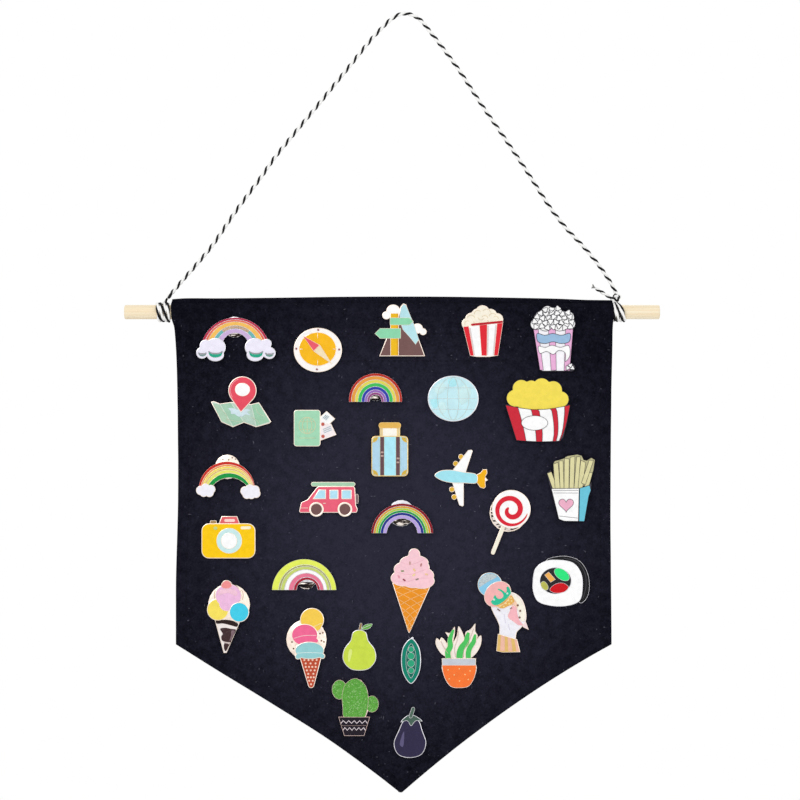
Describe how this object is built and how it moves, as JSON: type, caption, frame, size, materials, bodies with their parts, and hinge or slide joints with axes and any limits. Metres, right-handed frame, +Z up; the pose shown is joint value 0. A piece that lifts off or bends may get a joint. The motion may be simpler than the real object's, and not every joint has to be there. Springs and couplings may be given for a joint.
{
  "type": "pin badge board",
  "caption": "Pointed dark canvas banner on a wooden dowel with a hanging cord, covered in enamel pin badges held by butterfly clutches behind the cloth.",
  "frame": {"origin": "hanging point: underside of the cord's top bend, where it rests on its nail", "axes": "+Z up; +X to the right along the dowel seen from the front; the badges face -Y, so +Y points to the wall"},
  "size_m": [0.3, 0.0146, 0.4378],
  "materials": {
    "canvas": "woven cotton canvas",
    "wood": "sanded, uncoated",
    "twine": "black and white twist",
    "enamel": "glossy enamel",
    "gold_plate": "polished gold plating",
    "silver_plate": "polished nickel plating"
  },
  "bodies": {
    "hanger": {"dowel": "wood", "hanging_cord": "twine", "left_lashing": "twine", "right_lashing": "twine"},
    "banner": {"banner_cloth": "canvas"},
    "badge_rainbow_clouds": {"badge_rainbow_clouds": "enamel"},
    "badge_compass": {"badge_compass": "enamel"},
    "badge_mountain_signpost": {"badge_mountain_signpost": "enamel"},
    "badge_popcorn_box": {"badge_popcorn_box": "enamel"},
    "badge_popcorn_cup": {"badge_popcorn_cup": "enamel"},
    "badge_map_pin": {"badge_map_pin": "enamel"},
    "badge_rainbow_small": {"badge_rainbow_small": "enamel"},
    "badge_globe": {"badge_globe": "enamel"},
    "badge_popcorn_bucket": {"badge_popcorn_bucket": "enamel"},
    "badge_passport": {"badge_passport": "enamel"},
    "badge_suitcase": {"badge_suitcase": "enamel"},
    "badge_airplane": {"badge_airplane": "enamel"},
    "badge_rainbow_fluffy": {"badge_rainbow_fluffy": "enamel"},
    "badge_surf_van": {"badge_surf_van": "enamel"},
    "badge_rainbow_wide": {"badge_rainbow_wide": "enamel"},
    "badge_lollipop": {"badge_lollipop": "enamel"},
    "badge_fries": {"badge_fries": "enamel"},
    "badge_camera": {"badge_camera": "enamel"},
    "badge_rainbow_lime": {"badge_rainbow_lime": "enamel"},
    "badge_soft_serve": {"badge_soft_serve": "enamel"},
    "badge_sushi": {"badge_sushi": "enamel"},
    "badge_two_scoop_cone": {"badge_two_scoop_cone": "enamel"},
    "badge_gold_cone": {"badge_gold_cone": "enamel"},
    "badge_scoop_stack": {"badge_scoop_stack": "enamel"},
    "badge_pear": {"badge_pear": "enamel"},
    "badge_pea_pod": {"badge_pea_pod": "enamel"},
    "badge_succulent": {"badge_succulent": "enamel"},
    "badge_cactus": {"badge_cactus": "enamel"},
    "badge_aubergine": {"badge_aubergine": "enamel"},
    "clutch_rainbow_clouds": {"clutch_rainbow_clouds": "silver_plate"},
    "clutch_compass": {"clutch_compass": "gold_plate"},
    "clutch_mountain_signpost": {"clutch_mountain_signpost": "gold_plate"},
    "clutch_popcorn_box": {"clutch_popcorn_box": "gold_plate"},
    "clutch_popcorn_cup": {"clutch_popcorn_cup": "silver_plate"},
    "clutch_map_pin": {"clutch_map_pin": "gold_plate"},
    "clutch_rainbow_small": {"clutch_rainbow_small": "silver_plate"},
    "clutch_globe": {"clutch_globe": "gold_plate"},
    "clutch_popcorn_bucket": {"clutch_popcorn_bucket": "silver_plate"},
    "clutch_passport": {"clutch_passport": "gold_plate"},
    "clutch_suitcase": {"clutch_suitcase": "gold_plate"},
    "clutch_airplane": {"clutch_airplane": "gold_plate"},
    "clutch_rainbow_fluffy": {"clutch_rainbow_fluffy": "gold_plate"},
    "clutch_surf_van": {"clutch_surf_van": "gold_plate"},
    "clutch_rainbow_wide": {"clutch_rainbow_wide": "silver_plate"},
    "clutch_lollipop": {"clutch_lollipop": "gold_plate"},
    "clutch_fries": {"clutch_fries": "silver_plate"},
    "clutch_camera": {"clutch_camera": "gold_plate"},
    "clutch_rainbow_lime": {"clutch_rainbow_lime": "silver_plate"},
    "clutch_soft_serve": {"clutch_soft_serve": "gold_plate"},
    "clutch_sushi": {"clutch_sushi": "silver_plate"},
    "clutch_two_scoop_cone": {"clutch_two_scoop_cone": "gold_plate"},
    "clutch_gold_cone": {"clutch_gold_cone": "gold_plate"},
    "clutch_scoop_stack": {"clutch_scoop_stack": "gold_plate"},
    "clutch_succulent": {"clutch_succulent": "silver_plate"},
    "clutch_cactus": {"clutch_cactus": "gold_plate"}
  },
  "joints": [
    {"name": "banner_swing", "type": "hinge", "parent": "hanger", "child": "banner", "pos_m": [-0.0067, 0, -0.1663], "axis": [-1, 0, 0], "range_deg": [-45, 90]},
    {"name": "rainbow_clouds_turn", "type": "hinge", "parent": "banner", "child": "badge_rainbow_clouds", "pos_m": [-0.1077, -0.0056, -0.1868], "axis": [0, -1, 0], "range_deg": [-20, 65]},
    {"name": "compass_turn", "type": "hinge", "parent": "banner", "child": "badge_compass", "pos_m": [-0.0494, -0.0056, -0.1877], "axis": [0, -1, 0], "continuous": true},
    {"name": "mountain_signpost_turn", "type": "hinge", "parent": "banner", "child": "badge_mountain_signpost", "pos_m": [-0.0011, -0.0056, -0.1815], "axis": [0, -1, 0], "range_deg": [-180, 100]},
    {"name": "popcorn_box_turn", "type": "hinge", "parent": "banner", "child": "badge_popcorn_box", "pos_m": [0.0425, -0.0056, -0.1818], "axis": [0, -1, 0], "continuous": true},
    {"name": "popcorn_cup_turn", "type": "hinge", "parent": "banner", "child": "badge_popcorn_cup", "pos_m": [0.0818, -0.0056, -0.1823], "axis": [0, -1, 0], "range_deg": [-35, 150]},
    {"name": "map_pin_turn", "type": "hinge", "parent": "banner", "child": "badge_map_pin", "pos_m": [-0.0918, -0.0056, -0.2197], "axis": [0, -1, 0], "range_deg": [-180, 85]},
    {"name": "rainbow_small_turn", "type": "hinge", "parent": "banner", "child": "badge_rainbow_small", "pos_m": [-0.0173, -0.0056, -0.2101], "axis": [0, -1, 0], "range_deg": [-115, 65]},
    {"name": "globe_turn", "type": "hinge", "parent": "banner", "child": "badge_globe", "pos_m": [0.0263, -0.0056, -0.2148], "axis": [0, -1, 0], "continuous": true},
    {"name": "popcorn_bucket_turn", "type": "hinge", "parent": "banner", "child": "badge_popcorn_bucket", "pos_m": [0.0735, -0.0056, -0.2232], "axis": [0, -1, 0], "range_deg": [-40, 180]},
    {"name": "passport_turn", "type": "hinge", "parent": "banner", "child": "badge_passport", "pos_m": [-0.0541, -0.0056, -0.231], "axis": [0, -1, 0], "continuous": true},
    {"name": "suitcase_turn", "type": "hinge", "parent": "banner", "child": "badge_suitcase", "pos_m": [-0.0092, -0.0056, -0.246], "axis": [0, -1, 0], "continuous": true},
    {"name": "airplane_turn", "type": "hinge", "parent": "banner", "child": "badge_airplane", "pos_m": [0.0292, -0.0056, -0.2581], "axis": [0, -1, 0], "continuous": true},
    {"name": "rainbow_fluffy_turn", "type": "hinge", "parent": "banner", "child": "badge_rainbow_fluffy", "pos_m": [-0.0994, -0.0056, -0.2532], "axis": [0, -1, 0], "range_deg": [-105, 80]},
    {"name": "surf_van_turn", "type": "hinge", "parent": "banner", "child": "badge_surf_van", "pos_m": [-0.0423, -0.0056, -0.2729], "axis": [0, -1, 0], "continuous": true},
    {"name": "rainbow_wide_turn", "type": "hinge", "parent": "banner", "child": "badge_rainbow_wide", "pos_m": [-0.0027, -0.0056, -0.2789], "axis": [0, -1, 0], "range_deg": [-30, 50]},
    {"name": "lollipop_turn", "type": "hinge", "parent": "banner", "child": "badge_lollipop", "pos_m": [0.0572, -0.0056, -0.2778], "axis": [0, -1, 0], "range_deg": [-70, 95]},
    {"name": "fries_turn", "type": "hinge", "parent": "banner", "child": "badge_fries", "pos_m": [0.0909, -0.0056, -0.2675], "axis": [0, -1, 0], "range_deg": [-45, 90]},
    {"name": "camera_turn", "type": "hinge", "parent": "banner", "child": "badge_camera", "pos_m": [-0.0994, -0.0056, -0.2942], "axis": [0, -1, 0], "range_deg": [-180, 50]},
    {"name": "rainbow_lime_turn", "type": "hinge", "parent": "banner", "child": "badge_rainbow_lime", "pos_m": [-0.056, -0.0056, -0.3137], "axis": [0, -1, 0], "range_deg": [-45, 45]},
    {"name": "soft_serve_turn", "type": "hinge", "parent": "banner", "child": "badge_soft_serve", "pos_m": [0.0029, -0.0056, -0.3168], "axis": [0, -1, 0], "range_deg": [-135, 150]},
    {"name": "sushi_turn", "type": "hinge", "parent": "banner", "child": "badge_sushi", "pos_m": [0.086, -0.0056, -0.3183], "axis": [0, -1, 0], "range_deg": [-90, 75]},
    {"name": "two_scoop_cone_turn", "type": "hinge", "parent": "banner", "child": "badge_two_scoop_cone", "pos_m": [0.0559, -0.0056, -0.3301], "axis": [0, -1, 0], "range_deg": [-10, 45]},
    {"name": "gold_cone_turn", "type": "hinge", "parent": "banner", "child": "badge_gold_cone", "pos_m": [-0.0992, -0.0056, -0.3296], "axis": [0, -1, 0], "range_deg": [-140, 95]},
    {"name": "scoop_stack_turn", "type": "hinge", "parent": "banner", "child": "badge_scoop_stack", "pos_m": [-0.0554, -0.0056, -0.3493], "axis": [0, -1, 0], "range_deg": [-45, 40]},
    {"name": "pear_turn", "type": "hinge", "parent": "banner", "child": "badge_pear", "pos_m": [-0.026, -0.0056, -0.3573], "axis": [0, -1, 0], "range_deg": [-115, 45]},
    {"name": "pea_pod_turn", "type": "hinge", "parent": "banner", "child": "badge_pea_pod", "pos_m": [0.0028, -0.0056, -0.3609], "axis": [0, -1, 0], "range_deg": [-25, 50]},
    {"name": "succulent_turn", "type": "hinge", "parent": "banner", "child": "badge_succulent", "pos_m": [0.0294, -0.0056, -0.3661], "axis": [0, -1, 0], "range_deg": [-5, 25]},
    {"name": "cactus_turn", "type": "hinge", "parent": "banner", "child": "badge_cactus", "pos_m": [-0.0285, -0.0056, -0.3849], "axis": [0, -1, 0], "range_deg": [-100, 120]},
    {"name": "aubergine_turn", "type": "hinge", "parent": "banner", "child": "badge_aubergine", "pos_m": [0.0022, -0.0056, -0.4041], "axis": [0, -1, 0], "range_deg": [-180, 50]},
    {"name": "rainbow_clouds_clutch_slide", "type": "slide", "parent": "badge_rainbow_clouds", "child": "clutch_rainbow_clouds", "axis": [0, 1, 0], "range_m": [0, 0.009]},
    {"name": "compass_clutch_slide", "type": "slide", "parent": "badge_compass", "child": "clutch_compass", "axis": [0, 1, 0], "range_m": [0, 0.009]},
    {"name": "mountain_signpost_clutch_slide", "type": "slide", "parent": "badge_mountain_signpost", "child": "clutch_mountain_signpost", "axis": [0, 1, 0], "range_m": [0, 0.009]},
    {"name": "popcorn_box_clutch_slide", "type": "slide", "parent": "badge_popcorn_box", "child": "clutch_popcorn_box", "axis": [0, 1, 0], "range_m": [0, 0.009]},
    {"name": "popcorn_cup_clutch_slide", "type": "slide", "parent": "badge_popcorn_cup", "child": "clutch_popcorn_cup", "axis": [0, 1, 0], "range_m": [0, 0.009]},
    {"name": "map_pin_clutch_slide", "type": "slide", "parent": "badge_map_pin", "child": "clutch_map_pin", "axis": [0, 1, 0], "range_m": [0, 0.009]},
    {"name": "rainbow_small_clutch_slide", "type": "slide", "parent": "badge_rainbow_small", "child": "clutch_rainbow_small", "axis": [0, 1, 0], "range_m": [0, 0.009]},
    {"name": "globe_clutch_slide", "type": "slide", "parent": "badge_globe", "child": "clutch_globe", "axis": [0, 1, 0], "range_m": [0, 0.009]},
    {"name": "popcorn_bucket_clutch_slide", "type": "slide", "parent": "badge_popcorn_bucket", "child": "clutch_popcorn_bucket", "axis": [0, 1, 0], "range_m": [0, 0.009]},
    {"name": "passport_clutch_slide", "type": "slide", "parent": "badge_passport", "child": "clutch_passport", "axis": [0, 1, 0], "range_m": [0, 0.009]},
    {"name": "suitcase_clutch_slide", "type": "slide", "parent": "badge_suitcase", "child": "clutch_suitcase", "axis": [0, 1, 0], "range_m": [0, 0.009]},
    {"name": "airplane_clutch_slide", "type": "slide", "parent": "badge_airplane", "child": "clutch_airplane", "axis": [0, 1, 0], "range_m": [0, 0.009]},
    {"name": "rainbow_fluffy_clutch_slide", "type": "slide", "parent": "badge_rainbow_fluffy", "child": "clutch_rainbow_fluffy", "axis": [0, 1, 0], "range_m": [0, 0.009]},
    {"name": "surf_van_clutch_slide", "type": "slide", "parent": "badge_surf_van", "child": "clutch_surf_van", "axis": [0, 1, 0], "range_m": [0, 0.009]},
    {"name": "rainbow_wide_clutch_slide", "type": "slide", "parent": "badge_rainbow_wide", "child": "clutch_rainbow_wide", "axis": [0, 1, 0], "range_m": [0, 0.009]},
    {"name": "lollipop_clutch_slide", "type": "slide", "parent": "badge_lollipop", "child": "clutch_lollipop", "axis": [0, 1, 0], "range_m": [0, 0.009]},
    {"name": "fries_clutch_slide", "type": "slide", "parent": "badge_fries", "child": "clutch_fries", "axis": [0, 1, 0], "range_m": [0, 0.009]},
    {"name": "camera_clutch_slide", "type": "slide", "parent": "badge_camera", "child": "clutch_camera", "axis": [0, 1, 0], "range_m": [0, 0.009]},
    {"name": "rainbow_lime_clutch_slide", "type": "slide", "parent": "badge_rainbow_lime", "child": "clutch_rainbow_lime", "axis": [0, 1, 0], "range_m": [0, 0.009]},
    {"name": "soft_serve_clutch_slide", "type": "slide", "parent": "badge_soft_serve", "child": "clutch_soft_serve", "axis": [0, 1, 0], "range_m": [0, 0.009]},
    {"name": "sushi_clutch_slide", "type": "slide", "parent": "badge_sushi", "child": "clutch_sushi", "axis": [0, 1, 0], "range_m": [0, 0.009]},
    {"name": "two_scoop_cone_clutch_slide", "type": "slide", "parent": "badge_two_scoop_cone", "child": "clutch_two_scoop_cone", "axis": [0, 1, 0], "range_m": [0, 0.009]},
    {"name": "gold_cone_clutch_slide", "type": "slide", "parent": "badge_gold_cone", "child": "clutch_gold_cone", "axis": [0, 1, 0], "range_m": [0, 0.009]},
    {"name": "scoop_stack_clutch_slide", "type": "slide", "parent": "badge_scoop_stack", "child": "clutch_scoop_stack", "axis": [0, 1, 0], "range_m": [0, 0.009]},
    {"name": "succulent_clutch_slide", "type": "slide", "parent": "badge_succulent", "child": "clutch_succulent", "axis": [0, 1, 0], "range_m": [0, 0.009]},
    {"name": "cactus_clutch_slide", "type": "slide", "parent": "badge_cactus", "child": "clutch_cactus", "axis": [0, 1, 0], "range_m": [0, 0.009]}
  ]
}
